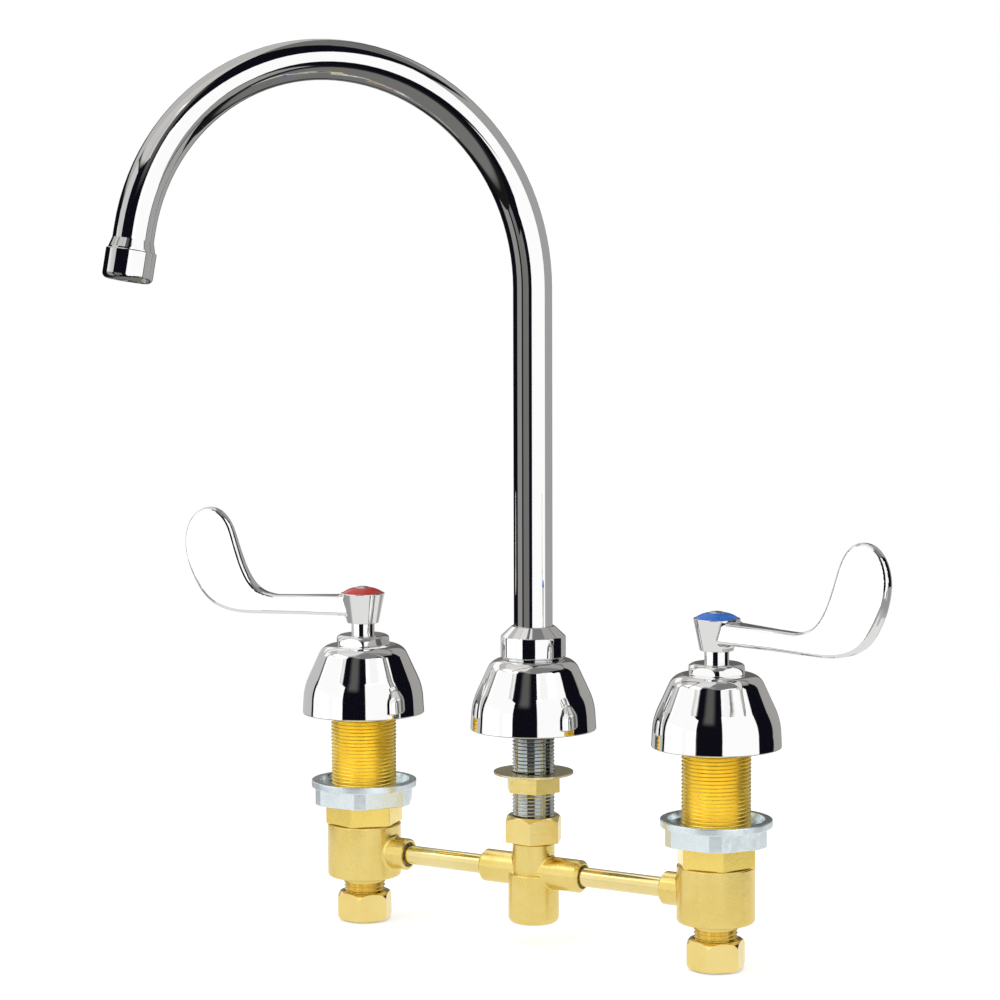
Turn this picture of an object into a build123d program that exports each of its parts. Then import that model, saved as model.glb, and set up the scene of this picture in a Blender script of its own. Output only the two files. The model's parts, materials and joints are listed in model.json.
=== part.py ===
from build123d import *

import os
from math import cos, pi, sin

# Deck-mounted lavatory faucet: two valves at standard centres, a swinging gooseneck spout
# between them, and the brass pipework under the deck. Millimetres, +Z up. The origin is the
# centre of the spout's hole on the top surface of the deck, +X runs from the hot valve to
# the cold one, and the user stands at -Y.

# Layout
CENTRES = 203.2
VALVE_X = CENTRES / 2
PIPE_HEIGHT = -71.0
HANDLE_FORWARD = 11.3
SPOUT_AZIMUTH = 237.3

# Gooseneck: the rising quarter is a little wider than the falling one
REACH = 203.2
RISE_RADIUS = 107.6
FALL_RADIUS = REACH - RISE_RADIUS
BEND_START = 216.4
BEND_TOTAL = 170.0
TUBE_R = 9.525
TUBE_WALL = 1.25
TUBE_BOTTOM = 36.8
TUBE_STUB = 5.0

# Outlet: distances along it are from the end of the bend
ADAPTER_LIP_R = 10.7
ADAPTER_THREAD_R = 10.3
ADAPTER_END = 16.6
SHELL_START = 9.8
SHELL_END = 24.0
SHELL_R = 11.6
SHELL_LIP = 1.3
MOUTH_R = 8.2

# Threads
PITCH = 1.814
THREAD_DEPTH = 0.95
THREAD_GAP = 0.08
HALF_INCH_R = 10.48
SHANK_THREAD_R = 16.65

# Bell escutcheons
BELL_HEIGHT = 35.0
BELL_RIM_R = 31.0
BELL_WALL = 1.3
BELL_HOLE_R = 10.7
BELL_TOP_R = 20.3
BELL_TOP_ROUND = 8.0
BELL_KNEE_R = 30.2
BELL_KNEE_HEIGHT = 13.4
BELL_KNEE_ROUND = 30.0

# Heights along a valve, from the deck downwards
LOCKNUT_TOP = -34.5
FLANGE_BOTTOM = -38.0
LOCKNUT_BOTTOM = -46.3
BODY_TOP = -57.0
BODY_BOTTOM = -84.3
SEAT_HEIGHT = -78.0
NIPPLE_BOTTOM = -100.4
NIPPLE_TURNS = 7
COUPLING_TOP = -92.3
COUPLING_BOTTOM = -107.2

# Valve pieces
BODY_R = 18.75
BOSS_R = 8.0
BOSS_END = 27.5
BOSS_FILLET = 1.5
INLET_R = 5.6
SHANK_TOP = 21.0
SHANK_BORE_R = 12.4
SHANK_FLATS = 34.6
SPIGOT_R = 13.9
SPIGOT_BOTTOM = -65.6
HEX_CORNER_R = 19.9
LOCKNUT_R = 26.85
LOCKNUT_FLATS = 48.0
LOCKNUT_CORNERS = 52.0
COUPLING_FLATS = 25.2
COUPLING_CORNER_R = 14.35
COUPLING_LIP = 3.7
ESCUTCHEON_NUT_FLATS = 26.2
ESCUTCHEON_NUT_R = 14.4
ESCUTCHEON_NUT_TOP = 40.2
RISER_HOLE_R = 6.5

# Cartridge
SLEEVE_R = 11.0
CHAMBER_R = 9.45
DISC_R = 9.35
DISC_JOINT = -72.0
SEAL_TOP = -75.0
CHAMBER_TOP = -62.0
STEM_R = 4.9
STEM_SLIM_R = 3.9
STEM_SHOULDER = 35.5
NECK_R = 5.85
NECK_TOP = 47.6
BONNET_THREAD_R = 9.0
STEM_TOP = 57.8

# Handle
HUB_BOTTOM = 46.0
HUB_TOP = 61.4
HUB_BOTTOM_R = 8.0
HUB_TOP_R = 11.2
ARM_HALF = 3.7
ARM_ROOT_HALF = 8.0
ARM_ROOT_END = 36.0
SPLINE_TEETH = 16
RING_SEAT = 60.0
SCREW_SEAT = 58.6

# Spout base
HEAD_THREAD_R = 14.3
SOCKET_R = 12.0
SOCKET_BOTTOM = 36.0
BUSH_R = 11.92
WATERWAY_R = 7.5
COLLAR_R = 16.0
COLLAR_BOTTOM = 35.8
COLLAR_SHOULDER = 46.0
COLLAR_TOP = 51.1
TUBE_HOLE_R = 9.85
SHANK_BOTTOM = -50.8

# Nuts under the spout
DECK_WASHER_R = 19.7
DECK_NUT_TOP = -22.1
DECK_NUT_BOTTOM = -30.8
DECK_NUT_FLATS = 24.6
UNION_TOP = -42.9
UNION_BOTTOM = -55.8
UNION_FLATS = 26.0
UNION_SHELF = -54.5
UNION_HOLE_R = 9.4

# Tee and cross pipes
TEE_TOP = -52.4
TEE_NECK_R = 10.45
TEE_R = 12.55
TEE_SHOULDER = -71.5
TEE_BOTTOM = -96.6
TEE_BOSS_END = 28.5
PIPE_R = 4.75
PIPE_WALL = 0.9
PIPE_SOCKET = 8.0
SOLDER_R = 6.3
SOLDER_RECESS = 1.2

# How far each hexagon was turned when it was tightened: the bearing of one corner, degrees
HOT_CORNERS = {"locknut": -60.0, "shank": -75.0, "coupling": -67.0, "nut": -52.0}
COLD_CORNERS = {"locknut": -63.0, "shank": -53.0, "coupling": -76.0, "nut": -60.0}
DECK_NUT_CORNER = -53.5
UNION_CORNER = -65.6


def turned(*corners, rounds=()):
    """A solid of revolution from its profile's corners, each a radius and a height."""
    profile = make_face(Polyline(*corners, close=True))
    for corner, radius in rounds:
        vertex = profile.vertices().sort_by_distance(Vector(*corner))[0]
        profile = fillet(vertex, radius)
    return revolve(Plane.XZ * profile, Axis.Z)


def tube(outer_r, inner_r, bottom, top):
    """A plain vertical ring or sleeve."""
    return turned((inner_r, bottom), (outer_r, bottom), (outer_r, top), (inner_r, top))


def rod(radius, bottom, top):
    """A plain vertical bar."""
    return Pos(0, 0, bottom) * Cylinder(radius, top - bottom, align=(Align.CENTER, Align.CENTER, Align.MIN))


def bar(radius, start, end, height):
    """A plain bar along X."""
    return Pos(start, 0, height) * Rot(0, 90, 0) * rod(radius, 0, end - start)


def hexagon(flats, bottom, top, corner):
    """A hexagonal prism, across flats, with one corner at the given bearing."""
    outline = RegularPolygon(flats / 2, 6, major_radius=False, rotation=corner)
    return Pos(0, 0, bottom) * extrude(outline, top - bottom)


def ridges(radius, bottom, count):
    """Profile corners of thread ridges, from the bottom crest up."""
    half = PITCH / 2
    return [(radius - THREAD_DEPTH * (step % 2), bottom + half * step) for step in range(2 * count + 1)]


def o_ring(ring_r, cord_r, height):
    """A rubber ring lying flat."""
    return Pos(0, 0, height) * Torus(ring_r, cord_r)


def spline_outline(outer_r, inner_r):
    """The toothed section of the stem's end and of its socket."""
    points = []
    for step in range(2 * SPLINE_TEETH):
        angle = pi * step / SPLINE_TEETH
        radius = outer_r if step % 2 == 0 else inner_r
        points.append((radius * cos(angle), radius * sin(angle)))
    return make_face(Polyline(*points, close=True))


def bell():
    """Thin pressed cover: flat top, soft shoulder, sloping side and nearly upright skirt."""
    outer = [(BELL_TOP_R, BELL_HEIGHT), (BELL_KNEE_R, BELL_KNEE_HEIGHT), (BELL_RIM_R, 0)]
    inner = [
        (BELL_TOP_R - 0.64 * BELL_WALL, BELL_HEIGHT - BELL_WALL),
        (BELL_KNEE_R - BELL_WALL, BELL_KNEE_HEIGHT - 0.25 * BELL_WALL),
        (BELL_RIM_R - BELL_WALL, 0),
    ]
    rounds = (
        (outer[0], BELL_TOP_ROUND),
        (outer[1], BELL_KNEE_ROUND),
        (outer[2], 0.5),
        (inner[0], BELL_TOP_ROUND - BELL_WALL),
        (inner[1], BELL_KNEE_ROUND - BELL_WALL),
    )
    top = (BELL_HOLE_R, BELL_HEIGHT)
    under = (BELL_HOLE_R, BELL_HEIGHT - BELL_WALL)
    return turned(top, *outer, *reversed(inner), under, rounds=rounds)


def valve_body():
    """Cylinder with a side outlet, a threaded inlet below and the seat inside."""
    cylinder = turned(
        (0, BODY_BOTTOM), (BODY_R, BODY_BOTTOM), (BODY_R, BODY_TOP), (0, BODY_TOP),
        rounds=(((BODY_R, BODY_BOTTOM), 1.6), ((BODY_R, BODY_TOP), 0.6)),
    )
    boss = bar(BOSS_R, 0, BOSS_END, PIPE_HEIGHT)
    boss = chamfer(boss.faces().sort_by(Axis.X)[-1].edges(), 0.7)
    body = cylinder + boss
    body = fillet(body.edges().filter_by(GeomType.BSPLINE), BOSS_FILLET)
    thread_top = NIPPLE_BOTTOM + NIPPLE_TURNS * PITCH
    outline = [(0, NIPPLE_BOTTOM)] + ridges(HALF_INCH_R, NIPPLE_BOTTOM, NIPPLE_TURNS) + [(0, thread_top)]
    body += turned(*outline) + rod(HALF_INCH_R - THREAD_DEPTH, thread_top, BODY_BOTTOM)
    body += rod(HALF_INCH_R + 0.9, BODY_BOTTOM - 2.0, BODY_BOTTOM)
    pocket_bottom = SPIGOT_BOTTOM - 0.4
    body -= rod(SPIGOT_R + THREAD_GAP, pocket_bottom, BODY_TOP)
    body -= rod(SHANK_BORE_R, SEAT_HEIGHT, pocket_bottom)
    body -= rod(INLET_R, NIPPLE_BOTTOM, SEAT_HEIGHT)
    body -= bar(PIPE_R - PIPE_WALL, SHANK_BORE_R - 2, BOSS_END, PIPE_HEIGHT)
    body -= bar(PIPE_R, BOSS_END - PIPE_SOCKET, BOSS_END, PIPE_HEIGHT)
    body -= bar(SOLDER_R, BOSS_END - SOLDER_RECESS, BOSS_END, PIPE_HEIGHT)
    return body


def threaded_shank(corner):
    """The tall shank through the deck, with a hexagon and a spigot for the body below it."""
    thread_bottom = LOCKNUT_BOTTOM
    turns = int((SHANK_TOP - thread_bottom) / PITCH)
    outline = ridges(SHANK_THREAD_R, thread_bottom, turns)
    outline += [(SHANK_THREAD_R - THREAD_DEPTH, SHANK_TOP), (SHANK_BORE_R, SHANK_TOP)]
    outline += [(SHANK_BORE_R, thread_bottom)]
    hexed = hexagon(SHANK_FLATS, BODY_TOP, LOCKNUT_BOTTOM, corner)
    hexed &= turned(
        (0, BODY_TOP),
        (HEX_CORNER_R - 0.6, BODY_TOP),
        (HEX_CORNER_R, BODY_TOP + 0.6),
        (HEX_CORNER_R, 0),
        (0, 0),
    )
    hexed -= rod(SHANK_BORE_R, BODY_TOP, LOCKNUT_BOTTOM)
    return turned(*outline) + hexed + tube(SPIGOT_R, SHANK_BORE_R, SPIGOT_BOTTOM, BODY_TOP)


def locknut(corner):
    """Dished flange over a hexagon whose corners are cut off flat."""
    rim_in = LOCKNUT_R - 3.6
    dish_floor = LOCKNUT_TOP - 2.8
    dish = turned(
        (SHANK_THREAD_R + THREAD_GAP, FLANGE_BOTTOM),
        (LOCKNUT_R, FLANGE_BOTTOM),
        (LOCKNUT_R, LOCKNUT_TOP),
        (rim_in, LOCKNUT_TOP),
        (rim_in - 0.6, dish_floor),
        (SHANK_THREAD_R + THREAD_GAP, dish_floor),
        rounds=(((LOCKNUT_R, LOCKNUT_TOP), 0.5), ((LOCKNUT_R, FLANGE_BOTTOM), 0.4)),
    )
    grip = hexagon(LOCKNUT_FLATS, LOCKNUT_BOTTOM, FLANGE_BOTTOM, corner)
    grip &= hexagon(LOCKNUT_CORNERS, LOCKNUT_BOTTOM, FLANGE_BOTTOM, corner + 30)
    grip = chamfer(grip.faces().sort_by(Axis.Z)[0].edges(), 0.4)
    grip -= rod(SHANK_THREAD_R + THREAD_GAP, LOCKNUT_BOTTOM, FLANGE_BOTTOM)
    return dish + grip


def escutcheon_nut(corner):
    """Low chrome nut that holds the bell: hexagon under a turned, rounded top."""
    top = ESCUTCHEON_NUT_TOP
    under = top - 1.5
    hole_r = NECK_R + 0.05
    cap = turned(
        (hole_r, under),
        (hole_r, top),
        (ESCUTCHEON_NUT_R, top),
        (ESCUTCHEON_NUT_R, BELL_HEIGHT),
        (0, BELL_HEIGHT),
        (0, under),
        rounds=(((ESCUTCHEON_NUT_R, top), 4.2), ((ESCUTCHEON_NUT_R, BELL_HEIGHT), 0.8)),
    )
    nut = cap & hexagon(ESCUTCHEON_NUT_FLATS, BELL_HEIGHT, top, corner)
    return nut - rod(BONNET_THREAD_R + THREAD_GAP, BELL_HEIGHT, under)


def cartridge_housing():
    """Long bonnet: hexagon on the shank's top, slim neck above, windowed sleeve below."""
    hex_bottom = SHANK_TOP + 0.8
    hex_top = hex_bottom + 5.0
    sleeve_bottom = SEAL_TOP - 1.4
    thread_top = ESCUTCHEON_NUT_TOP - 1.6
    outside = turned(
        (0, sleeve_bottom),
        (SLEEVE_R, sleeve_bottom),
        (SLEEVE_R, CHAMBER_TOP),
        (SHANK_BORE_R - 0.05, CHAMBER_TOP + 1.0),
        (SHANK_BORE_R - 0.05, hex_bottom),
        (SHANK_BORE_R, hex_bottom),
        (SHANK_BORE_R, hex_top),
        (BONNET_THREAD_R, hex_top),
        (BONNET_THREAD_R, thread_top),
        (NECK_R, thread_top),
        (NECK_R, NECK_TOP),
        (0, NECK_TOP),
        rounds=(((NECK_R, NECK_TOP), 0.4),),
    )
    housing = outside + hexagon(30.0, hex_bottom, hex_top, 0)
    stem_shelf = STEM_SHOULDER + 0.5
    housing -= rod(CHAMBER_R, sleeve_bottom, CHAMBER_TOP)
    housing -= rod(STEM_R + 0.05, CHAMBER_TOP, stem_shelf)
    housing -= rod(STEM_SLIM_R + 0.05, stem_shelf, NECK_TOP)
    for angle in (0, 90):
        housing -= Rot(0, 0, angle) * Pos(0, 0, CHAMBER_TOP - 3.0) * Box(2 * SLEEVE_R + 2, 9.0, 4.0)
    return housing


def stem():
    """Spindle: tang and flange for the disc, two ring grooves, splined end, tapped hole."""
    groove_r = 3.6
    spline_bottom = NECK_TOP + 0.4
    shaft = turned(
        (0, -69.0),
        (6.5, -69.0),
        (6.5, -67.3),
        (STEM_R, -66.5),
        (STEM_R, 21.1),
        (groove_r, 21.1),
        (groove_r, 22.9),
        (STEM_R, 22.9),
        (STEM_R, 27.1),
        (groove_r, 27.1),
        (groove_r, 28.9),
        (STEM_R, 28.9),
        (STEM_R, STEM_SHOULDER),
        (STEM_SLIM_R, STEM_SHOULDER),
        (STEM_SLIM_R, spline_bottom),
        (0, spline_bottom),
    )
    splined = Pos(0, 0, spline_bottom) * extrude(spline_outline(3.9, 3.4), STEM_TOP - spline_bottom)
    tang = Pos(0, 0, -70.0) * Box(11.6, 2.6, 2.0)
    return shaft + splined + tang - rod(2.1, STEM_TOP - 12.0, STEM_TOP)


def rotating_disc():
    """Upper ceramic disc: a slot for the tang and two notches that open the ports."""
    disc = rod(DISC_R, DISC_JOINT + 0.02, -69.05)
    disc -= Pos(0, 0, -70.0) * Box(11.8, 2.8, 2.2)
    for side in (-1, 1):
        disc -= Pos(0, side * 6.6, -70.5) * Box(8.0, 5.6, 4.0)
    return disc


def fixed_disc():
    """Lower ceramic disc with two ports, a quarter turn away from the notches."""
    disc = rod(DISC_R, SEAL_TOP, DISC_JOINT)
    for side in (-1, 1):
        disc -= Pos(side * 5.6, 0, (SEAL_TOP + DISC_JOINT) / 2) * extrude(Ellipse(2.2, 3.2), 4.0, both=True)
    return disc


def handle():
    """Wrist-blade lever, pointing along +X: tapered hub, flat arm and upturned leaf."""
    leaf = Spline(
        (52.0, 48.7),
        (71.0, 49.0),
        (85.6, 54.6),
        (94.0, 65.4),
        (99.2, 80.0),
        (98.2, 92.6),
        (91.2, 101.4),
        (82.2, 102.3),
        (75.2, 96.8),
        (70.9, 87.0),
        (67.2, 76.0),
        (62.2, 66.0),
        (56.0, 60.6),
        (47.0, 58.6),
        tangents=((1, -0.01), (-1, 0.05)),
        tangent_scalars=(1, 0.5),
    )
    arm = Polyline((47.0, 58.6), (3.0, 60.0), (3.0, 49.9), (52.0, 48.7))
    outline = Plane.XZ * make_face(leaf + arm)
    wide = ARM_ROOT_HALF + 1.0
    plate = extrude(outline, wide, both=True)
    end_view = Polyline(
        (-wide, 40), (wide, 40), (wide, 60.5), (ARM_HALF, 60.5), (2.3, 104),
        (-2.3, 104), (-ARM_HALF, 60.5), (-wide, 60.5), close=True,
    )
    plate &= extrude(Plane.YZ * make_face(end_view), 110)
    plan = Polyline(
        (0, -ARM_ROOT_HALF), (ARM_ROOT_END, -ARM_HALF), (112, -ARM_HALF),
        (112, ARM_HALF), (ARM_ROOT_END, ARM_HALF), (0, ARM_ROOT_HALF), close=True,
    )
    plate &= Pos(0, 0, 40) * extrude(make_face(plan), 70)
    plate = fillet(plate.edges().filter_by(lambda edge: edge.center().X > 8), 1.9)
    hub = turned(
        (0, HUB_BOTTOM), (HUB_BOTTOM_R, HUB_BOTTOM), (HUB_TOP_R, HUB_TOP), (0, HUB_TOP),
        rounds=(((HUB_BOTTOM_R, HUB_BOTTOM), 0.4), ((HUB_TOP_R, HUB_TOP), 0.35)),
    )
    lever = hub + plate
    near_hub = lever.edges().filter_by_position(Axis.X, 5.0, 11.5)
    plain = (GeomType.LINE, GeomType.CIRCLE)
    lever = fillet([edge for edge in near_hub if edge.geom_type not in plain], 2.5)
    lever -= rod(NECK_R + 0.45, HUB_BOTTOM, NECK_TOP + 1.0)
    lever -= Pos(0, 0, NECK_TOP + 1.0) * extrude(spline_outline(3.95, 3.45), STEM_TOP - NECK_TOP - 0.9)
    lever -= rod(2.3, STEM_TOP, HUB_TOP)
    lever -= rod(4.3, SCREW_SEAT, HUB_TOP)
    lever -= rod(10.35, RING_SEAT, HUB_TOP)
    return lever


def handle_screw():
    """Slotted dome-headed screw down the middle of the hub."""
    head_r = 4.0
    head_top = HUB_TOP + 3.4
    head_edge = head_top - 0.8
    dome = ThreePointArc((0, head_top), (2.4, head_top - 0.25), (head_r, head_edge))
    sides = Polyline(
        (head_r, head_edge), (head_r, SCREW_SEAT), (2.0, SCREW_SEAT), (2.0, STEM_TOP - 11.0),
        (0, STEM_TOP - 11.0), (0, head_top),
    )
    screw = revolve(Plane.XZ * make_face(dome + sides), Axis.Z)
    return screw - Pos(0, 0, head_top) * Box(9.0, 0.9, 1.6)


def index_ring():
    """Coloured ring round the screw, domed towards the middle."""
    bore_r = 4.1
    rim_r = 10.25
    rim = (rim_r, HUB_TOP + 0.1)
    inner_edge = (bore_r, HUB_TOP + 2.6)
    dome = ThreePointArc(rim, (7.4, HUB_TOP + 1.75), inner_edge)
    sides = Polyline(inner_edge, (bore_r, RING_SEAT), (rim_r, RING_SEAT), rim)
    return revolve(Plane.XZ * make_face(dome + sides), Axis.Z)


def coupling_nut(corner):
    """Inlet nut: hexagon with both ends turned round, shoulder at the foot for the riser."""
    outside = turned(
        (0, COUPLING_BOTTOM),
        (COUPLING_CORNER_R, COUPLING_BOTTOM),
        (COUPLING_CORNER_R, COUPLING_TOP),
        (0, COUPLING_TOP),
        rounds=(((COUPLING_CORNER_R, COUPLING_BOTTOM), 3.2), ((COUPLING_CORNER_R, COUPLING_TOP), 3.2)),
    )
    nut = outside & hexagon(COUPLING_FLATS, COUPLING_BOTTOM, COUPLING_TOP, corner)
    shelf = COUPLING_BOTTOM + COUPLING_LIP
    nut -= rod(HALF_INCH_R + THREAD_GAP, shelf, COUPLING_TOP)
    return nut - rod(RISER_HOLE_R, COUPLING_BOTTOM, shelf)


def spout_tube():
    """Bent tube: riser, rising quarter, falling arc and a short straight end."""
    riser = Line((0, 0, TUBE_BOTTOM), (0, 0, BEND_START))
    rise = Plane.XZ * CenterArc((RISE_RADIUS, BEND_START), RISE_RADIUS, 180, -90)
    fall_centre = (RISE_RADIUS, BEND_START + RISE_RADIUS - FALL_RADIUS)
    fall = Plane.XZ * CenterArc(fall_centre, FALL_RADIUS, 90, 90 - BEND_TOTAL)
    stub = Line(fall @ 1, fall @ 1 + (fall % 1) * TUBE_STUB)
    section = Plane.XY.offset(TUBE_BOTTOM) * (Circle(TUBE_R) - Circle(TUBE_R - TUBE_WALL))
    return sweep(section, path=Wire([riser, rise.edge(), fall.edge(), stub]))


def outlet_place():
    """Where the bend ends, with +Z along the water's way out."""
    turn = BEND_TOTAL * pi / 180
    reach = RISE_RADIUS - FALL_RADIUS * cos(turn)
    height = BEND_START + RISE_RADIUS - FALL_RADIUS + FALL_RADIUS * sin(turn)
    direction = (sin(turn), 0, cos(turn))
    return Plane(origin=(reach, 0, height), x_dir=(0, 1, 0), z_dir=direction).location


def outlet_adapter():
    """Flared end brazed into the tube, with a male thread for the aerator."""
    return turned(
        (6.8, 0.6), (TUBE_R - TUBE_WALL, 0.6), (TUBE_R - TUBE_WALL, TUBE_STUB), (TUBE_R, TUBE_STUB),
        (ADAPTER_LIP_R, SHELL_START - 0.6), (ADAPTER_LIP_R, SHELL_START), (ADAPTER_THREAD_R, SHELL_START),
        (ADAPTER_THREAD_R, ADAPTER_END), (6.8, ADAPTER_END),
    )


def aerator_shell():
    """Chrome shell with a rounded mouth."""
    bore_r = ADAPTER_THREAD_R + 0.06
    return turned(
        (bore_r, SHELL_START), (SHELL_R, SHELL_START), (SHELL_R, SHELL_END), (MOUTH_R, SHELL_END),
        (MOUTH_R, SHELL_END - SHELL_LIP), (bore_r, SHELL_END - SHELL_LIP),
        rounds=(((SHELL_R, SHELL_START), 0.7), ((SHELL_R, SHELL_END), 2.6), ((MOUTH_R, SHELL_END), 0.5)),
    )


def aerator_insert():
    """Plastic flow former: a plug pierced by rings of small holes."""
    start = ADAPTER_END + 2.4
    plug = rod(ADAPTER_THREAD_R, start, SHELL_END - SHELL_LIP - 0.05)
    for count, ring_r in ((1, 0.0), (6, 2.6), (12, 5.2), (18, 7.8)):
        for step in range(count):
            angle = 2 * pi * step / count
            plug -= Pos(ring_r * cos(angle), ring_r * sin(angle)) * rod(0.8, start, SHELL_END)
    return plug


def spout_shank():
    """Threaded tube through the deck, flanged over the bell, with a socket for the spout."""
    turns = 46
    flange_r = 14.9
    flange_top = COLLAR_BOTTOM - 0.2
    socket_top = 43.8
    lower = [(WATERWAY_R, SHANK_BOTTOM)] + ridges(HALF_INCH_R, SHANK_BOTTOM, turns)
    upper = [
        (HALF_INCH_R, BELL_HEIGHT),
        (flange_r, BELL_HEIGHT),
        (flange_r, flange_top),
        (HEAD_THREAD_R, flange_top),
        (HEAD_THREAD_R, socket_top),
        (SOCKET_R, socket_top),
        (SOCKET_R, SOCKET_BOTTOM),
        (WATERWAY_R, SOCKET_BOTTOM),
    ]
    return turned(*lower, *upper, rounds=(((flange_r, flange_top), 0.2),))


def spout_bush():
    """Brass sleeve brazed on the tube's foot, grooved for two sealing rings."""
    groove_r = 10.45
    bottom = SOCKET_BOTTOM + 0.2
    top = bottom + 8.0
    return turned(
        (TUBE_R, bottom),
        (BUSH_R, bottom),
        (BUSH_R, 37.9),
        (groove_r, 37.9),
        (groove_r, 39.5),
        (BUSH_R, 39.5),
        (BUSH_R, 40.7),
        (groove_r, 40.7),
        (groove_r, 42.3),
        (BUSH_R, 42.3),
        (BUSH_R, top),
        (TUBE_R, top),
    )


def spout_collar():
    """Chrome packing nut: cylinder with a conical shoulder up to the tube."""
    cone_top_r = 10.6
    shelf = COLLAR_SHOULDER - 0.8
    return turned(
        (HEAD_THREAD_R + THREAD_GAP, COLLAR_BOTTOM),
        (COLLAR_R, COLLAR_BOTTOM),
        (COLLAR_R, COLLAR_SHOULDER),
        (cone_top_r, COLLAR_TOP),
        (TUBE_HOLE_R, COLLAR_TOP),
        (TUBE_HOLE_R, shelf),
        (HEAD_THREAD_R + THREAD_GAP, shelf),
        rounds=(
            ((COLLAR_R, COLLAR_SHOULDER), 1.0),
            ((COLLAR_R, COLLAR_BOTTOM), 0.8),
            ((cone_top_r, COLLAR_TOP), 0.3),
        ),
    )


def union_nut():
    """Brass nut that draws the tee up to the shank, turned to a point at its upper corners."""
    corner_r = 15.2
    outside = turned(
        (0, UNION_BOTTOM),
        (corner_r, UNION_BOTTOM),
        (corner_r, UNION_TOP - 2.6),
        (12.4, UNION_TOP),
        (0, UNION_TOP),
        rounds=(((corner_r, UNION_BOTTOM), 0.6),),
    )
    nut = outside & hexagon(UNION_FLATS, UNION_BOTTOM, UNION_TOP, UNION_CORNER)
    nut -= rod(HALF_INCH_R + THREAD_GAP, UNION_SHELF, UNION_TOP)
    return nut - rod(UNION_HOLE_R, UNION_BOTTOM, UNION_SHELF)


def tee_body():
    """Mixing tee: flanged neck into the nut, wider closed cylinder, two side bosses."""
    neck_top = UNION_BOTTOM - 1.0
    lip = UNION_SHELF + 0.1
    column = turned(
        (0, TEE_BOTTOM),
        (TEE_R, TEE_BOTTOM),
        (TEE_R, TEE_SHOULDER),
        (TEE_NECK_R, TEE_SHOULDER),
        (TEE_NECK_R, neck_top),
        (UNION_HOLE_R - 0.1, neck_top),
        (UNION_HOLE_R - 0.1, lip),
        (HALF_INCH_R - 0.18, lip),
        (HALF_INCH_R - 0.18, TEE_TOP),
        (0, TEE_TOP),
        rounds=(((TEE_R, TEE_BOTTOM), 3.0), ((TEE_R, TEE_SHOULDER), 0.9), ((TEE_NECK_R, neck_top), 0.5)),
    )
    bosses = bar(BOSS_R, -TEE_BOSS_END, TEE_BOSS_END, PIPE_HEIGHT)
    bosses = chamfer(bosses.faces().filter_by(Axis.X).edges(), 1.5)
    body = column + bosses
    body = fillet(body.edges().filter_by(GeomType.BSPLINE), 0.8)
    body -= rod(6.5, -84.0, TEE_TOP)
    body -= bar(PIPE_R - PIPE_WALL, -TEE_BOSS_END, TEE_BOSS_END, PIPE_HEIGHT)
    for side in (-1, 1):
        mouth = side * TEE_BOSS_END
        for radius, depth in ((PIPE_R, PIPE_SOCKET), (SOLDER_R - 0.4, SOLDER_RECESS)):
            ends = sorted((mouth, mouth - side * depth))
            body -= bar(radius, ends[0], ends[1], PIPE_HEIGHT)
    return body


def cross_pipe(side):
    """Brass pipe from the tee's socket to the valve body's."""
    ends = sorted((side * (TEE_BOSS_END - PIPE_SOCKET), side * (VALVE_X - BOSS_END + PIPE_SOCKET)))
    return bar(PIPE_R, *ends, PIPE_HEIGHT) - bar(PIPE_R - PIPE_WALL, *ends, PIPE_HEIGHT)


def solder_rings():
    """Four rings of solder, one in the mouth of each boss."""
    rings = []
    valve_mouth = VALVE_X - BOSS_END
    for side in (-1, 1):
        for inner, outer, radius in (
            (TEE_BOSS_END - SOLDER_RECESS, TEE_BOSS_END - 0.3, SOLDER_R - 0.4),
            (valve_mouth + 0.3, valve_mouth + SOLDER_RECESS, SOLDER_R),
        ):
            ends = sorted((side * inner, side * outer))
            rings.append(bar(radius, *ends, PIPE_HEIGHT) - bar(PIPE_R, *ends, PIPE_HEIGHT))
    return Compound(children=[ring.solid() for ring in rings])


def o_rings(ring_r, cord_r, heights):
    """A pair of equal rubber rings."""
    return Compound(children=[o_ring(ring_r, cord_r, height).solid() for height in heights])


def valve_pieces(name, side, corners):
    """Every piece of one valve, by node name, at its place on the deck."""
    place = Pos(side * VALVE_X, 0, 0)
    inward = place * Rot(0, 0, 0 if side < 0 else 180)
    lever = place * Rot(0, 0, 180 + HANDLE_FORWARD if side < 0 else -HANDLE_FORWARD)
    thrust_bottom = STEM_SHOULDER + 0.03
    washer_bottom = COUPLING_BOTTOM + COUPLING_LIP
    return {
        f"{name}_valve_body": inward * valve_body(),
        f"{name}_threaded_shank": place * threaded_shank(corners["shank"]),
        f"{name}_locknut": place * locknut(corners["locknut"]),
        f"{name}_escutcheon": place * bell(),
        f"{name}_escutcheon_nut": place * escutcheon_nut(corners["nut"]),
        f"{name}_cartridge_housing": place * cartridge_housing(),
        f"{name}_bonnet_gasket": place * tube(15.0, SHANK_BORE_R, SHANK_TOP, SHANK_TOP + 0.8),
        f"{name}_thrust_washer": place * tube(4.85, STEM_SLIM_R + 0.1, thrust_bottom, thrust_bottom + 0.44),
        f"{name}_stem": lever * stem(),
        f"{name}_stem_o_rings": lever * o_rings(4.25, 0.64, (22.0, 28.0)),
        f"{name}_rotating_disc": lever * rotating_disc(),
        f"{name}_fixed_disc": place * fixed_disc(),
        f"{name}_seat_seal": place * tube(DISC_R, 7.4, SEAT_HEIGHT, SEAL_TOP),
        f"{name}_handle": lever * handle(),
        f"{name}_handle_screw": lever * handle_screw(),
        f"{name}_index_ring": lever * index_ring(),
        f"{name}_coupling_nut": place * coupling_nut(corners["coupling"]),
        f"{name}_cone_washer": place * tube(10.3, RISER_HOLE_R, washer_bottom, NIPPLE_BOTTOM),
    }


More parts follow.
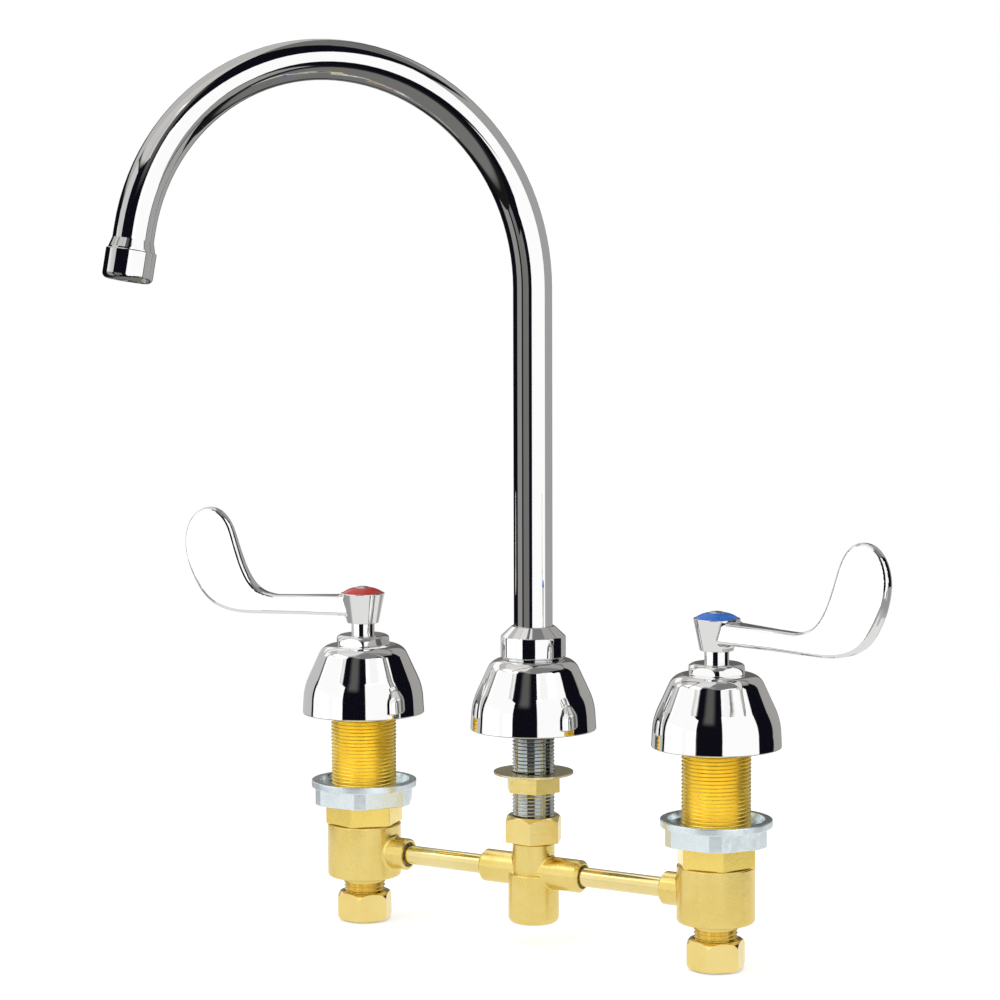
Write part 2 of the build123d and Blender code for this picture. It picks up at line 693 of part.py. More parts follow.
def spout_pieces():
    """The swinging spout, by node name."""
    swing = Rot(0, 0, SPOUT_AZIMUTH)
    outlet = swing * outlet_place()
    return {
        "spout_tube": swing * spout_tube(),
        "spout_bush": spout_bush(),
        "spout_o_rings": o_rings(11.2, 0.72, (38.7, 41.5)),
        "outlet_adapter": outlet * outlet_adapter(),
        "aerator_shell": outlet * aerator_shell(),
        "aerator_washer": outlet * tube(10.2, 6.8, ADAPTER_END, ADAPTER_END + 1.6),
        "aerator_screen": outlet * rod(10.2, ADAPTER_END + 1.7, ADAPTER_END + 2.1),
        "aerator_insert": outlet * aerator_insert(),
    }


def centre_pieces():
    """What holds the spout to the deck and joins it to the valves, by node name."""
    return {
        "spout_shank": spout_shank(),
        "spout_escutcheon": bell(),
        "spout_collar": spout_collar(),
        "spout_bearing_ring": tube(13.8, TUBE_HOLE_R, 44.3, 45.15),
        "deck_washer": tube(DECK_WASHER_R, 10.7, DECK_NUT_TOP, DECK_NUT_TOP + 1.0),
        "deck_nut": hexagon(DECK_NUT_FLATS, DECK_NUT_BOTTOM, DECK_NUT_TOP, DECK_NUT_CORNER)
        - rod(HALF_INCH_R + THREAD_GAP, DECK_NUT_BOTTOM, DECK_NUT_TOP),
        "union_nut": union_nut(),
        "union_gasket": tube(10.3, 7.0, TEE_TOP, SHANK_BOTTOM),
        "tee_body": tee_body(),
        "hot_cross_pipe": cross_pipe(-1),
        "cold_cross_pipe": cross_pipe(1),
        "solder_rings": solder_rings(),
    }


pieces = {
    **valve_pieces("hot", -1, HOT_CORNERS),
    **valve_pieces("cold", 1, COLD_CORNERS),
    **spout_pieces(),
    **centre_pieces(),
}

os.makedirs("parts", exist_ok=True)
for node, piece in pieces.items():
    export_step(piece, f"parts/{node}.step")
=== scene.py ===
import json
from math import ceil, cos, pi, radians, sin, tan

import bmesh
import bpy
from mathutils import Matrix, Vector


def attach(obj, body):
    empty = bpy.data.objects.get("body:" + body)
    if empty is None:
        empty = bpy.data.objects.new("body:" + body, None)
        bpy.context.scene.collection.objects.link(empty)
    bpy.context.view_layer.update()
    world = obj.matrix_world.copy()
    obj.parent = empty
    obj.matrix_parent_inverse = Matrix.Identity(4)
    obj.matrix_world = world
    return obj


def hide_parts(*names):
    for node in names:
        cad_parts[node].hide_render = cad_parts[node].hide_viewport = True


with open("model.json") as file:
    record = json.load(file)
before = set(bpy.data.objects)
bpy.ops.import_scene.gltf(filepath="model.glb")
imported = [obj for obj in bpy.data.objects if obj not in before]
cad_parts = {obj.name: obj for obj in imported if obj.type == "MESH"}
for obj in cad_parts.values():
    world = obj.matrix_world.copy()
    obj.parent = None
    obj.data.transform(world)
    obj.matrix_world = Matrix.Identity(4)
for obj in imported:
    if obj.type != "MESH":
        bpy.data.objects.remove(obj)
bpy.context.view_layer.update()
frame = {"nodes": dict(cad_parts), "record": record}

# Metres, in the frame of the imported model. The valves stand at +-VALVE_X.
VALVE_X = 0.1016
FLOOR_Z = -0.1074
FLOOR_R = 0.62
PITCH = 0.001814

# Bearings of screens and lamps count from the camera's, in degrees
CAMERA_BEARING = -59.6
SCREEN_DISTANCE = 3.0

nodes = frame["nodes"]
subparts = frame["record"]["subparts"]


# Shader helpers

class Graph:
    """Short calls for building a node tree."""

    def __init__(self, tree):
        self.tree = tree
        tree.nodes.clear()

    def add(self, kind, **settings):
        node = self.tree.nodes.new(kind)
        for key, value in settings.items():
            setattr(node, key, value)
        return node

    def put(self, value, socket):
        if isinstance(value, bpy.types.NodeSocket):
            self.tree.links.new(value, socket)
        else:
            socket.default_value = value

    def math(self, operation, a, b=None, c=None, clamp=False):
        node = self.add("ShaderNodeMath", operation=operation, use_clamp=clamp)
        for value, socket in zip((a, b, c), node.inputs):
            if value is not None:
                self.put(value, socket)
        return node.outputs[0]

    def ramp(self, value, low, high, to_low=0.0, to_high=1.0, smooth=True):
        kind = "SMOOTHSTEP" if smooth else "LINEAR"
        node = self.add("ShaderNodeMapRange", interpolation_type=kind)
        self.put(value, node.inputs["Value"])
        self.put(low, node.inputs["From Min"])
        self.put(high, node.inputs["From Max"])
        self.put(to_low, node.inputs["To Min"])
        self.put(to_high, node.inputs["To Max"])
        return node.outputs["Result"]

    def mix(self, factor, a, b, kind="RGBA"):
        node = self.add("ShaderNodeMix", data_type=kind, clamp_factor=True)
        self.put(factor, node.inputs["Factor"])
        self.put(a, node.inputs["A"])
        self.put(b, node.inputs["B"])
        return node.outputs["Result"]

    def noise(self, vector, scale, detail=2.0, roughness=0.5):
        node = self.add("ShaderNodeTexNoise")
        self.put(vector, node.inputs["Vector"])
        self.put(scale, node.inputs["Scale"])
        self.put(detail, node.inputs["Detail"])
        self.put(roughness, node.inputs["Roughness"])
        return node.outputs["Fac"]

    def stretch(self, vector, scale):
        node = self.add("ShaderNodeMapping")
        self.put(vector, node.inputs["Vector"])
        self.put(scale, node.inputs["Scale"])
        return node.outputs["Vector"]

    def bump(self, height, strength, distance, normal=None):
        node = self.add("ShaderNodeBump")
        self.put(strength, node.inputs["Strength"])
        self.put(distance, node.inputs["Distance"])
        self.put(height, node.inputs["Height"])
        if normal is not None:
            self.put(normal, node.inputs["Normal"])
        return node.outputs["Normal"]

    def glow(self, kind, colour, strength=1.0):
        """An emission or a background."""
        node = self.add(kind)
        self.put(colour, node.inputs["Color"])
        self.put(strength, node.inputs["Strength"])
        return node.outputs[0]

    def either(self, factor, a, b):
        """Shader a where the factor is zero and shader b where it is one."""
        node = self.add("ShaderNodeMixShader")
        for value, socket in zip((factor, a, b), node.inputs):
            self.put(value, socket)
        return node.outputs[0]


def rgba(colour, gain=1.0):
    """An opaque colour, made brighter or darker."""
    return tuple(min(1.0, channel * gain) for channel in colour) + (1.0,)


def surface(name):
    """A new material: its graph, its shader and the object coordinates."""
    material = bpy.data.materials.new(name)
    material.use_nodes = True
    graph = Graph(material.node_tree)
    out = graph.add("ShaderNodeOutputMaterial")
    shader = graph.add("ShaderNodeBsdfPrincipled")
    graph.put(shader.outputs[0], out.inputs["Surface"])
    place = graph.add("ShaderNodeTexCoord").outputs["Object"]
    return material, graph, shader, place


MARK_DEPTH = 0.0004
STAIN_RATIO = 4.5
SWELL = 48.0


def worn_edges(graph, rounded, tone, colour, gain):
    """The tone, made brighter where the rounded normal leaves the flat one."""
    flat = graph.add("ShaderNodeNewGeometry").outputs["Normal"]
    facing = graph.add("ShaderNodeVectorMath", operation="DOT_PRODUCT")
    graph.put(rounded, facing.inputs[0])
    graph.put(flat, facing.inputs[1])
    worn = graph.ramp(facing.outputs["Value"], 0.90, 0.995, 1.0, 0.0)
    return graph.mix(worn, tone, rgba(colour, gain))


def metal(name, colour, deep, roughness, spread, mottling, grain, grain_bump,
          edge=0.0, tarnish=0.5, wave=0.0, edge_gain=1.0):
    """Bare or plated metal: mottled colour, uneven gloss, tool marks and worn edges."""
    material, graph, shader, place = surface(name)
    cloud = graph.noise(place, mottling, 3.0, 0.6)
    stains = graph.noise(place, mottling * STAIN_RATIO, 4.0, 0.65)
    marks = graph.noise(graph.stretch(place, grain), 1.0, 3.0, 0.6)

    tone = graph.mix(graph.ramp(cloud, 0.35, 0.7, 0.0, tarnish), rgba(colour), rgba(deep))
    stained = graph.ramp(stains, 0.58, 0.8, 0.0, 0.35 * tarnish)
    tone = graph.mix(stained, tone, rgba(deep, 0.85))

    gloss = graph.ramp(stains, 0.3, 0.75, roughness - spread, roughness + spread, smooth=False)
    scratch = graph.ramp(marks, 0.35, 0.75, -spread * 0.5, spread * 0.5, smooth=False)
    gloss = graph.math("ADD", gloss, scratch)

    normal = None
    if edge:
        rounding = graph.add("ShaderNodeBevel", samples=4)
        graph.put(edge, rounding.inputs["Radius"])
        normal = rounding.outputs["Normal"]
        if edge_gain > 1.0:
            tone = worn_edges(graph, normal, tone, colour, edge_gain)
    if wave:
        normal = graph.bump(graph.noise(place, SWELL, 1.0, 0.4), wave, MARK_DEPTH, normal)

    graph.put(tone, shader.inputs["Base Color"])
    graph.put(1.0, shader.inputs["Metallic"])
    graph.put(gloss, shader.inputs["Roughness"])
    graph.put(graph.bump(marks, grain_bump, MARK_DEPTH, normal), shader.inputs["Normal"])
    return material


def plastic(name, colour, roughness, coat=0.0):
    """Moulded plastic, rubber or fibre with a faint texture."""
    material, graph, shader, place = surface(name)
    cloud = graph.noise(place, 220.0, 3.0, 0.6)
    tone = graph.mix(graph.ramp(cloud, 0.35, 0.7), rgba(colour), rgba(colour, 0.82))
    gloss = graph.ramp(cloud, 0.3, 0.8, roughness - 0.04, roughness + 0.06)
    fine = graph.noise(place, 2600.0, 2.0, 0.5)
    graph.put(tone, shader.inputs["Base Color"])
    graph.put(gloss, shader.inputs["Roughness"])
    graph.put(coat, shader.inputs["Coat Weight"])
    graph.put(0.05, shader.inputs["Coat Roughness"])
    graph.put(graph.bump(fine, 0.06, 0.0002), shader.inputs["Normal"])
    return material


# Materials

CHROME = (0.92, 0.92, 0.915)
CHROME_DEEP = (0.86, 0.86, 0.855)
SOFT_GRAIN = (260, 260, 260)
CAST_GRAIN = (700, 700, 700)
ROUGH_GRAIN = (900, 900, 900)
WOVEN_GRAIN = (2500, 2500, 2500)
THREAD_GRAIN = (90, 90, 2600)
TURNED_GRAIN = (60, 60, 5200)
DRAWN_GRAIN = (30, 1500, 1500)

chrome = metal(
    "chrome", CHROME, CHROME_DEEP, roughness=0.035, spread=0.012, mottling=30.0,
    grain=SOFT_GRAIN, grain_bump=0.010, edge=0.0002, tarnish=0.25, wave=0.10,
)
tube_chrome = metal(
    "tube_chrome", CHROME, CHROME_DEEP, roughness=0.035, spread=0.012, mottling=30.0,
    grain=SOFT_GRAIN, grain_bump=0.006, tarnish=0.25,
)
handle_chrome = metal(
    "cast_chrome", CHROME, CHROME_DEEP, roughness=0.05, spread=0.015, mottling=30.0,
    grain=SOFT_GRAIN, grain_bump=0.02, tarnish=0.3, wave=0.10,
)
cast_brass = metal(
    "cast_brass", (0.82, 0.645, 0.22), (0.75, 0.56, 0.15), roughness=0.26, spread=0.05,
    mottling=60.0, grain=CAST_GRAIN, grain_bump=0.14, edge=0.0003, tarnish=0.6, edge_gain=1.12,
)
# Cast brass painted darker for the valve hexagons: painted shade, because the thread lamps light
# them as well as the brass lamps
painted_shade_hex_brass = metal(
    "painted_shade_hex_brass", (0.60, 0.455, 0.12), (0.54, 0.395, 0.085), roughness=0.26, spread=0.05,
    mottling=60.0, grain=CAST_GRAIN, grain_bump=0.12, edge=0.0003, edge_gain=1.12,
)
turned_brass = metal(
    "turned_brass", (0.89, 0.71, 0.27), (0.82, 0.61, 0.18), roughness=0.22, spread=0.05,
    mottling=60.0, grain=TURNED_GRAIN, grain_bump=0.10, edge=0.0003, edge_gain=1.12,
)
gold_thread = metal(
    "gold_thread", (0.90, 0.69, 0.14), (0.85, 0.62, 0.10), roughness=0.32, spread=0.05,
    mottling=50.0, grain=THREAD_GRAIN, grain_bump=0.05, tarnish=0.4,
)
pipe_brass = metal(
    "pipe_brass", (0.86, 0.72, 0.34), (0.78, 0.62, 0.24), roughness=0.13, spread=0.04,
    mottling=50.0, grain=DRAWN_GRAIN, grain_bump=0.06,
)
pale_zinc = metal(
    "pale_zinc", (0.85, 0.93, 0.96), (0.69, 0.78, 0.82), roughness=0.26, spread=0.06,
    mottling=70.0, grain=SOFT_GRAIN, grain_bump=0.10, edge=0.0003, tarnish=0.45, edge_gain=1.15,
)
nickel = metal(
    "nickel", (0.68, 0.71, 0.71), (0.50, 0.53, 0.54), roughness=0.08, spread=0.04,
    mottling=70.0, grain=THREAD_GRAIN, grain_bump=0.05,
)
washer_brass = metal(
    "washer_brass", (0.84, 0.74, 0.46), (0.70, 0.58, 0.32), roughness=0.26, spread=0.05,
    mottling=60.0, grain=ROUGH_GRAIN, grain_bump=0.10, edge=0.0001,
)
solder = metal(
    "solder", (0.34, 0.30, 0.22), (0.10, 0.085, 0.06), roughness=0.42, spread=0.1,
    mottling=420.0, grain=ROUGH_GRAIN, grain_bump=0.8, tarnish=1.0,
)
screw_steel = metal(
    "screw_steel", (0.82, 0.82, 0.82), (0.66, 0.66, 0.66), roughness=0.14, spread=0.05,
    mottling=200.0, grain=CAST_GRAIN, grain_bump=0.06, edge=0.0001,
)
screen_steel = metal(
    "screen_steel", (0.55, 0.55, 0.56), (0.40, 0.40, 0.41), roughness=0.3, spread=0.05,
    mottling=200.0, grain=WOVEN_GRAIN, grain_bump=0.3,
)
red_plastic = plastic("red_plastic", (0.58, 0.02, 0.016), 0.3, coat=0.25)
blue_plastic = plastic("blue_plastic", (0.003, 0.15, 0.66), 0.3, coat=0.25)
black_rubber = plastic("black_rubber", (0.02, 0.02, 0.021), 0.6)
fibre = plastic("fibre", (0.30, 0.08, 0.05), 0.8)
ceramic = plastic("ceramic", (0.86, 0.85, 0.81), 0.2)
insert_plastic = plastic("insert_plastic", (0.05, 0.05, 0.055), 0.45)
acetal = plastic("acetal", (0.82, 0.82, 0.79), 0.4)

BY_SLOT = {
    "chrome": chrome,
    "thread_brass": gold_thread,
    "cast_brass": cast_brass,
    "pipe_brass": pipe_brass,
    "union_brass": turned_brass,
    "pale_zinc": pale_zinc,
    "nickel": nickel,
    "washer_brass": washer_brass,
    "red_plastic": red_plastic,
    "blue_plastic": blue_plastic,
    "screw_steel": screw_steel,
    "black_rubber": black_rubber,
    "fibre": fibre,
    "ceramic": ceramic,
    "insert_plastic": insert_plastic,
    "screen_steel": screen_steel,
    "acetal": acetal,
    "solder": solder,
}
BY_NODE = {
    "spout_tube": tube_chrome,
    "outlet_adapter": tube_chrome,
    "aerator_shell": tube_chrome,
    "hot_handle": handle_chrome,
    "cold_handle": handle_chrome,
    "hot_coupling_nut": turned_brass,
    "cold_coupling_nut": turned_brass,
    "deck_nut": turned_brass,
}

for part in subparts:
    finish = BY_NODE.get(part["node"], BY_SLOT[part["material_slot"]])
    mesh = nodes[part["node"]].data
    mesh.materials.clear()
    mesh.materials.append(finish)


# Threads with a real helix

SEGMENTS = 96
ROWS = 8
HEX_CREASE = radians(20)
THREAD_CREASE = radians(55)


def ring(centre_x, radius, height):
    """Points of a circle."""
    angles = [2 * pi * step / SEGMENTS for step in range(SEGMENTS)]
    return [(centre_x + radius * cos(angle), radius * sin(angle), height) for angle in angles]


def walls(levels, around):
    """Faces between closed rings of points that follow one another."""
    faces = []
    for level in range(levels - 1):
        low, high = level * around, (level + 1) * around
        for step in range(around):
            after = (step + 1) % around
            faces.append((low + step, low + after, high + after, high + step))
    return faces


def lathe(centre_x, profile):
    """Vertices and faces of a turned surface from radii and heights."""
    points = []
    for radius, height in profile:
        points += ring(centre_x, radius, height)
    return points, walls(len(profile), SEGMENTS)


def helix(centre_x, low, high, crest, root):
    """A right-hand thread: every row of the surface climbs one pitch a turn."""
    depth = crest - root
    rows = ceil(ROWS * ((high - low) / PITCH + 1)) + ROWS + 1
    points = []
    for row in range(rows):
        swing = 0.5 - 0.5 * cos(2 * pi * row / ROWS)
        for step in range(SEGMENTS):
            angle = 2 * pi * step / SEGMENTS
            height = low + PITCH * (row / ROWS + step / SEGMENTS - 1)
            radius = crest - depth * swing
            if height <= low or height >= high:
                radius = crest - depth
                height = min(max(height, low), high)
            points.append((centre_x + radius * cos(angle), radius * sin(angle), height))
    faces = []
    for row in range(rows - ROWS - 1):
        for step in range(SEGMENTS):
            near = row * SEGMENTS + step
            if step + 1 < SEGMENTS:
                far = near + 1
            else:
                far = (row + ROWS) * SEGMENTS
            faces.append((near, far, far + SEGMENTS, near + SEGMENTS))
    return points, faces


def hex_bar(centre_x, flats, low, high, corner):
    """A hexagon with a narrow flat on each corner and a chamfer at its foot and top."""
    lean = radians(1.2)
    reach = flats / 2 / cos(pi / 6 - lean)
    foot_edge, top_edge, top_lip = 0.0006, 0.0003, 0.0004
    sections = ((low, foot_edge), (low + foot_edge, 0.0), (high - top_edge, 0.0), (high, top_lip))
    around = 12
    points = []
    for height, shrink in sections:
        radius = reach - shrink
        for side in range(6):
            for turn in (-lean, lean):
                angle = radians(corner) + pi * side / 3 + turn
                points.append((centre_x + radius * cos(angle), radius * sin(angle), height))
    faces = walls(len(sections), around)
    faces.append(tuple(reversed(range(around))))
    faces.append(tuple(range(len(points) - around, len(points))))
    return points, faces


def soften(mesh):
    """Join the seams and shade round, but for the creases."""
    work = bmesh.new()
    work.from_mesh(mesh)
    bmesh.ops.remove_doubles(work, verts=work.verts, dist=2e-6)
    bmesh.ops.recalc_face_normals(work, faces=work.faces)
    for face in work.faces:
        face.smooth = True
    for edge in work.edges:
        on_hexagon = any(face.material_index for face in edge.link_faces)
        crease = HEX_CREASE if on_hexagon else THREAD_CREASE
        if len(edge.link_faces) == 2 and edge.calc_face_angle(0.0) > crease:
            edge.smooth = False
    work.to_mesh(mesh)
    work.free()


def threaded_piece(name, node, finishes, shells):
    """One piece for a CAD node; each of its shells has the finish of the same number."""
    points = []
    faces = []
    looks = []
    for look, (shell_points, shell_faces) in shells:
        start = len(points)
        points += shell_points
        faces += [tuple(start + index for index in face) for face in shell_faces]
        looks += [look] * len(shell_faces)
    mesh = bpy.data.meshes.new(name)
    mesh.from_pydata(points, [], faces)
    for finish in finishes:
        mesh.materials.append(finish)
    mesh.polygons.foreach_set("material_index", looks)
    soften(mesh)
    piece = bpy.data.objects.new(name, mesh)
    bpy.context.collection.objects.link(piece)
    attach(piece, "faucet_body")
    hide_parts(node)
    return piece


def valve_shank(name, centre_x, corner):
    """Tall threaded shank of a valve with the hexagon at its foot."""
    top, foot, seat, tail = 0.021, -0.0463, -0.057, -0.0656
    crest, root, bore, spigot = 0.01665, 0.0157, 0.0124, 0.0139
    flats, gap = 0.0346, 0.0003
    inside = lathe(centre_x, [
        (root, top), (bore, top), (bore, tail), (spigot, tail), (spigot, seat + gap),
    ])
    thread = helix(centre_x, foot, top, crest, root)
    hexagon = hex_bar(centre_x, flats, seat, foot, corner)
    shells = ((0, thread), (0, inside), (1, hexagon))
    # The hexagon gets cast brass painted darker as painted shade, against the thread lamps that
    # also reach it
    finishes = (gold_thread, painted_shade_hex_brass)
    node = f"{name}_threaded_shank"
    return threaded_piece(f"{name}_helical_shank", node, finishes, shells)


def spout_shank():
    """Threaded tube of the spout, its flange and its socket."""
    foot, thread_top, neck = -0.0508, 0.0326, 0.0332
    flange_foot, flange_top, socket_floor, rim = 0.0350, 0.0356, 0.0360, 0.0438
    crest, root, bore = 0.01048, 0.00953, 0.0075
    flange, outside, socket = 0.0149, 0.0143, 0.0120
    thread = helix(0.0, foot, thread_top, crest, root)
    rest = lathe(0.0, [
        (root, thread_top), (crest, neck), (crest, flange_foot), (flange, flange_foot),
        (flange, flange_top), (outside, flange_top), (outside, rim), (socket, rim),
        (socket, socket_floor), (bore, socket_floor), (bore, foot), (root, foot),
    ])
    shells = ((0, thread), (0, rest))
    threaded_piece("spout_helical_shank", "spout_shank", (nickel,), shells)


hot_shank = valve_shank("hot", -VALVE_X, corner=-75.0)
cold_shank = valve_shank("cold", VALVE_X, corner=-53.0)
spout_shank()


# The room that plated parts mirror

# Pale walls over a dark room, later ones over earlier ones. Each has two bearings, two angles
# of height, its brightness and the softness of its edge
GAP_LEVEL = 0.004
WALLS = (
    (-190, -160, -60, 20, 0.18, 2.0),
    (-190, -104, 20, 95, 0.50, 3.0),
    (-104, -47, 36, 95, 0.58, 2.0),
    (-48, -25, 56, 95, 0.55, 4.0),
    (-102, -67, -60, 12, 0.28, 1.0),
    (-57, -38, -60, 10, 0.17, 0.8),
    (-28, -8, 26, 62, 0.10, 6.0),
    (8, 32, -20, 38, 1.06, 0.8),
    (30, 78, -12, 38, 1.06, 0.8),
    (57, 78, -40, -9, 0.30, 0.8),
    (56, 58, -40, -9, 0.02, 0.4),
    (117, 164, -60, 50, 0.36, 1.2),
    (164, 190, -60, 50, 0.12, 3.0),
    (100, 190, 44, 95, 0.16, 3.0),
)


def window(graph, value, low, high, soft):
    """Two factors whose product is one between the limits and zero outside."""
    rising = graph.ramp(value, low - soft, low + soft)
    falling = graph.ramp(value, high - soft, high + soft, 1.0, 0.0)
    return rising, falling


def mirrored_walls(graph):
    """Brightness of the room in the direction that is looked at."""
    split = graph.add("ShaderNodeSeparateXYZ")
    graph.put(graph.add("ShaderNodeTexCoord").outputs["Generated"], split.inputs[0])
    x, y, z = split.outputs
    bearing = graph.math("DEGREES", graph.math("ARCTAN2", y, x))
    from_camera = graph.math("SUBTRACT", bearing, CAMERA_BEARING)
    azimuth = graph.math("WRAP", from_camera, 180.0, -180.0)
    height = graph.math("DEGREES", graph.math("ARCSINE", z))
    level = GAP_LEVEL
    for west, east, low, high, bright, soft in WALLS:
        after_west, before_east = window(graph, azimuth, west, east, soft)
        over_low, under_high = window(graph, height, low, high, soft)
        inside = graph.math("MULTIPLY", after_west, before_east)
        inside = graph.math("MULTIPLY", inside, over_low)
        inside = graph.math("MULTIPLY", inside, under_high)
        level = graph.mix(inside, level, bright, kind="FLOAT")
    return level


def warm_grey(graph, level):
    """A grey whose middle tones are a little warm."""
    warmth, cooling, blue_floor = 0.04, -0.07, 0.004
    middle = graph.math("MULTIPLY", level, graph.math("SUBTRACT", 1.0, level, clamp=True))
    tint = graph.add("ShaderNodeCombineColor")
    graph.put(graph.math("MULTIPLY_ADD", middle, warmth, level), tint.inputs[0])
    graph.put(level, tint.inputs[1])
    blue = graph.math("ADD", level, blue_floor)
    graph.put(graph.math("MULTIPLY_ADD", middle, cooling, blue), tint.inputs[2])
    return tint.outputs[0]


def seen_directly(graph, ray):
    """One for rays that come straight from the camera or through something clear."""
    return graph.math("MAXIMUM", ray.outputs["Is Camera Ray"], ray.outputs["Is Transmission Ray"])


def painted_studio():
    """A white background, with pale screens and dark gaps where metal mirrors it."""
    world = bpy.data.worlds.new("studio")
    bpy.context.scene.world = world
    world.use_nodes = True
    graph = Graph(world.node_tree)
    out = graph.add("ShaderNodeOutputWorld")
    ray = graph.add("ShaderNodeLightPath")
    mirrored = graph.glow("ShaderNodeBackground", warm_grey(graph, mirrored_walls(graph)))
    ambient = graph.glow("ShaderNodeBackground", (0.98, 0.99, 1.0, 1.0), 0.6)
    plain = graph.glow("ShaderNodeBackground", (1.0, 1.0, 1.0, 1.0))
    lit = graph.either(ray.outputs["Is Glossy Ray"], ambient, mirrored)
    graph.put(graph.either(seen_directly(graph, ray), lit, plain), out.inputs["Surface"])


def pale_floor():
    """Round floor that melts into the background but keeps a soft shadow."""
    paper_grey, paper_glow = 0.72, 0.55
    fade_from, fade_to, near_glow, far_glow = 0.38, 0.50, 0.17, 0.01
    bpy.ops.mesh.primitive_circle_add(
        vertices=96, radius=FLOOR_R, fill_type="NGON", location=(0, 0, FLOOR_Z)
    )
    floor = bpy.context.object
    floor.name = "floor"
    material = bpy.data.materials.new("floor_paper")
    material.use_nodes = True
    graph = Graph(material.node_tree)
    out = graph.add("ShaderNodeOutputMaterial")
    ray = graph.add("ShaderNodeLightPath")

    paper = graph.add("ShaderNodeBsdfDiffuse")
    graph.put(rgba((paper_grey,) * 3), paper.inputs["Color"])
    strength = graph.math("MULTIPLY", seen_directly(graph, ray), paper_glow)
    glow = graph.glow("ShaderNodeEmission", (1.0, 1.0, 1.0, 1.0), strength)
    lit = graph.add("ShaderNodeAddShader")
    graph.put(paper.outputs[0], lit.inputs[0])
    graph.put(glow, lit.inputs[1])

    spot = graph.add("ShaderNodeVectorMath", operation="LENGTH")
    graph.put(graph.add("ShaderNodeTexCoord").outputs["Object"], spot.inputs[0])
    fade = graph.ramp(spot.outputs["Value"], fade_from, fade_to, near_glow, far_glow)
    mirrored = graph.glow("ShaderNodeEmission", (1.0, 0.99, 0.97, 1.0), fade)

    shown = graph.either(ray.outputs["Is Glossy Ray"], lit.outputs[0], mirrored)
    graph.put(shown, out.inputs["Surface"])
    floor.data.materials.append(material)


# Lamps

def area_lamp(name, size, power):
    """Rectangular lamp, still to be placed."""
    lamp = bpy.data.lights.new(name, "AREA")
    lamp.shape = "RECTANGLE"
    lamp.size, lamp.size_y = size
    lamp.energy = power
    holder = bpy.data.objects.new(name, lamp)
    bpy.context.collection.objects.link(holder)
    return holder


def face(holder, direction):
    """Turn a lamp to shine in a direction."""
    holder.rotation_euler = direction.to_track_quat("-Z", "Y").to_euler()


def softbox(name, bearing, distance, height, size, power):
    """Large soft lamp aimed at the middle of the object, not mirrored."""
    holder = area_lamp(name, size, power)
    holder.data.specular_factor = 0.3
    angle = radians(CAMERA_BEARING + bearing)
    holder.location = (distance * cos(angle), distance * sin(angle), height)
    face(holder, Vector((0, 0, 0.05)) - holder.location)
    holder.visible_glossy = False


def panel(name, size, radiance, pieces):
    """Evenly glowing rectangle that lights only the given pieces, or all but them."""
    holder = area_lamp(name, size, radiance * pi * size[0] * size[1])
    holder.visible_camera = False
    group, state = pieces
    linked = bpy.data.collections.new(holder.name + "_pieces")
    for piece in group:
        linked.objects.link(piece)
    for entry in linked.collection_objects:
        entry.light_linking.link_state = state
    holder.light_linking.receiver_collection = linked
    return holder


def screen(name, plane, sides, rise, radiance, pieces):
    """Upright panel that fills the room between two bearings and two angles of height."""
    across = [SCREEN_DISTANCE * tan(radians(side - plane)) for side in sides]
    heights = [SCREEN_DISTANCE * tan(radians(angle)) for angle in rise]
    size = (across[1] - across[0], heights[1] - heights[0])
    holder = panel(name, size, radiance, pieces)
    angle = radians(CAMERA_BEARING + plane)
    out = Vector((cos(angle), sin(angle), 0))
    sideways = Vector((-sin(angle), cos(angle), 0))
    centre = out * SCREEN_DISTANCE + sideways * (sum(across) / 2)
    holder.location = (centre.x, centre.y, sum(heights) / 2)
    face(holder, -out)


def ceiling(name, height, size, radiance, pieces):
    """Square panel over the object."""
    holder = panel(name, (size, size), radiance, pieces)
    holder.location = (0, 0, height)


def bounce(name, lift, size, radiance, pieces):
    """Square panel just over the floor that shines up."""
    holder = panel(name, (size, size), radiance, pieces)
    holder.location = (0, 0, FLOOR_Z + lift)
    holder.rotation_euler = (pi, 0, 0)


BRASS_SLOTS = ("cast_brass", "thread_brass", "pipe_brass", "union_brass", "washer_brass")
tube = [nodes[name] for name in ("spout_tube", "outlet_adapter", "aerator_shell")]
brass = [nodes[part["node"]] for part in subparts if part["material_slot"] in BRASS_SLOTS]
shanks = [hot_shank, cold_shank]
locknuts = [nodes["hot_locknut"], nodes["cold_locknut"]]
levers = [nodes["hot_handle"], nodes["cold_handle"]]

NOT_TUBE = (tube, "EXCLUDE")
TUBE = (tube, "INCLUDE")
BRASS = (brass + shanks, "INCLUDE")
THREADS = (shanks, "INCLUDE")
ZINC = (locknuts, "INCLUDE")
LEVERS = (levers, "INCLUDE")

painted_studio()
pale_floor()
softbox("key", -55, 1.6, 1.1, (1.0, 1.2), 3)
softbox("fill", 40, 1.8, 0.8, (1.2, 1.2), 1.5)
softbox("top", 0, 0.3, 1.8, (1.4, 1.4), 2)

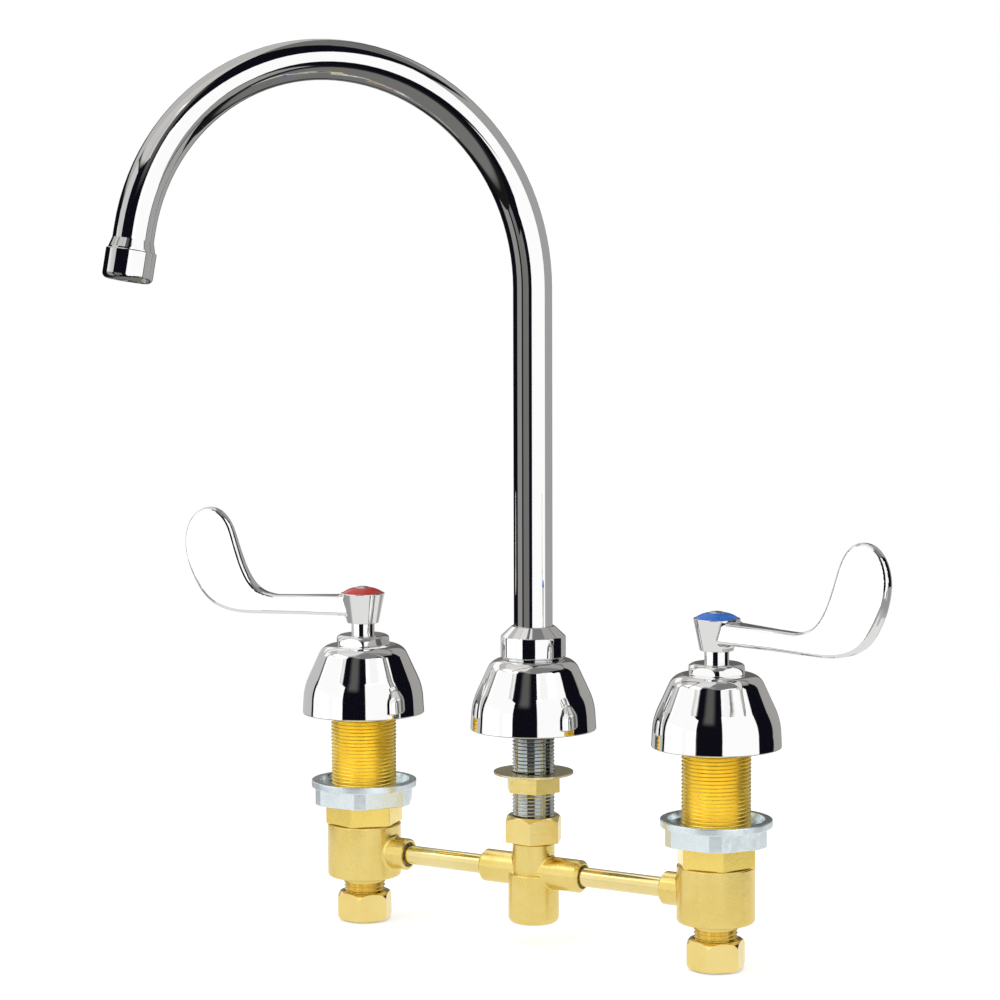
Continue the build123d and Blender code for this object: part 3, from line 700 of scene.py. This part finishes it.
# The studio around everything but the tube
screen("left_screen", -71.5, (-107, -38), (-11, 36), 1.05, NOT_TUBE)
screen("left_screen_top", -71.5, (-105, -47), (36, 51), 0.55, NOT_TUBE)
screen("edge_screen", -138, (-163, -113), (-11, 36), 0.55, NOT_TUBE)
screen("right_screen_top", 34, (10, 58), (38, 47), 1.0, NOT_TUBE)
ceiling("ceiling", 3.0, 5.2, 0.20, NOT_TUBE)
bounce("floor_bounce", 0.001, 0.7, 0.30, NOT_TUBE)

# The tube's own screens
screen("tube_high", -38, (-47, -28), (37, 60), 0.58, TUBE)
screen("tube_white", 2, (-3.5, 8), (-15, 38), 1.05, TUBE)
screen("tube_brown", -30, (-38, -22), (-15, 11), 0.17, TUBE)
screen("tube_left", -80, (-100, -62), (14, 36), 0.60, TUBE)
screen("tube_right", 98, (79, 117), (-20, 40), 0.36, TUBE)

# Brighter surroundings for all brass
screen("brass_front", -15, (-45, 12), (-30, 52), 1.10, BRASS)
ceiling("brass_ceiling", 2.9, 5.2, 0.65, BRASS)
bounce("brass_bounce", 0.0005, 0.9, 0.50, BRASS)

# More for the gold threads, whose flanks face up and down
ceiling("thread_ceiling", 2.8, 7.0, 0.55, THREADS)
bounce("thread_bounce", 0.0007, 1.1, 0.55, THREADS)
screen("thread_front", 0, (-60, 60), (-35, 45), 0.35, THREADS)

# For the locknuts
screen("zinc_right", 60, (20, 95), (-20, 45), 0.45, ZINC)
ceiling("zinc_ceiling", 2.7, 4.0, 0.35, ZINC)
bounce("zinc_bounce", 0.0009, 1.2, 0.42, ZINC)

# For the levers, whose hubs face slightly down
bounce("lever_bounce", 0.0006, 2.4, 0.32, LEVERS)


# Camera, in the place that puts the columns, rims and arch where the photograph has them

camera_data = bpy.data.cameras.new("camera")
camera_data.sensor_width = 36.0
camera_data.lens = 104.4
camera_data.clip_start = 0.05
camera_data.clip_end = 20.0
camera = bpy.data.objects.new("camera", camera_data)
bpy.context.collection.objects.link(camera)
camera.location = (0.73502, -1.20893, 0.2337)
camera.rotation_euler = (radians(85.127), radians(0.166), radians(31.938))
bpy.context.scene.camera = camera
bpy.context.scene.view_settings.view_transform = "Standard"
